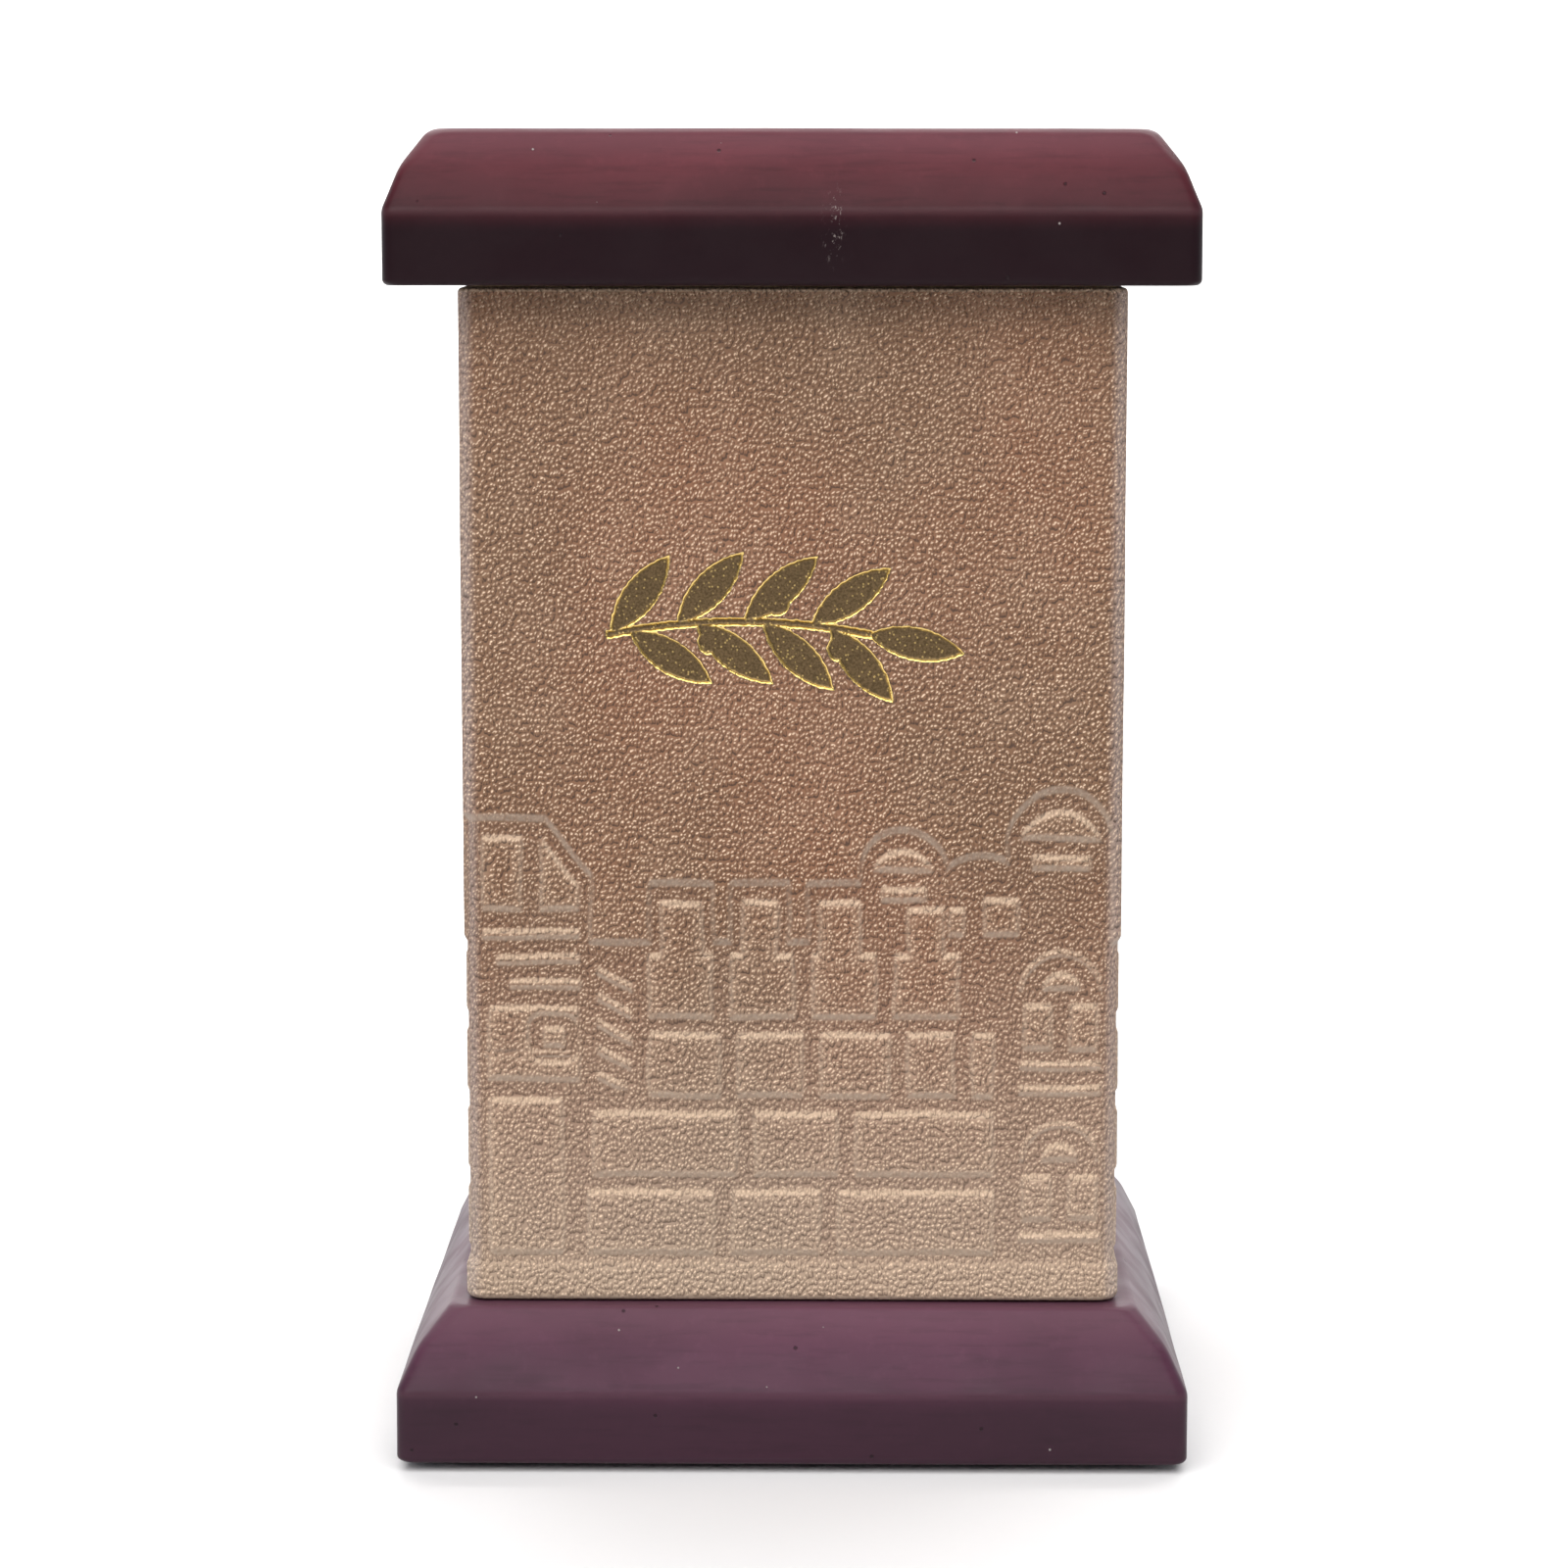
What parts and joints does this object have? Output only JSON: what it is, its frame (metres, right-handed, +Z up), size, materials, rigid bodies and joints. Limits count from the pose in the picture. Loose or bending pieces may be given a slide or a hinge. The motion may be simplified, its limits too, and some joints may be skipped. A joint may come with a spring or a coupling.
{
  "type": "donation box",
  "caption": "Upright square collection box: leather-covered body between a bevelled wooden base and lid, coin slot on top, sliding emptying hatch underneath.",
  "frame": {"origin": "middle of the footprint, on the surface that the felt pads stand on", "axes": "+Z up, the embossed front faces -Y, +X to the right seen from the front"},
  "size_m": [0.09, 0.09, 0.1512],
  "materials": {
    "lacquered_lid": "satin lacquered mahogany",
    "lacquered_base": "satin lacquered mahogany",
    "plain_wood": "planed beech, unfinished",
    "board": "medium-density fibreboard",
    "leather": "pebbled, semi-matte, bronze-brown with a light rub",
    "gold_foil": "hot-stamped gold foil",
    "brass_screw": "turned brass",
    "steel_screw": "zinc-plated steel",
    "felt": "pressed felt"
  },
  "bodies": {
    "box": {"base": "lacquered_base", "hatch_rail_left": "plain_wood", "hatch_rail_right": "plain_wood", "rail_screws": "brass_screw", "base_screws": "steel_screw", "felt_pad_front_left": "felt", "felt_pad_front_right": "felt", "felt_pad_back_left": "felt", "felt_pad_back_right": "felt", "front_panel": "board", "back_panel": "board", "left_panel": "board", "right_panel": "board", "corner_post_front_left": "plain_wood", "corner_post_front_right": "plain_wood", "corner_post_back_left": "plain_wood", "corner_post_back_right": "plain_wood", "leather_wrap": "leather", "foil_sprig": "gold_foil", "lid": "lacquered_lid", "lid_dowels": "plain_wood"},
    "hatch": {"hatch": "plain_wood"}
  },
  "joints": [
    {"name": "hatch_slide", "type": "slide", "parent": "box", "child": "hatch", "axis": [0, 1, 0], "range_m": [0, 0.0341]}
  ]
}
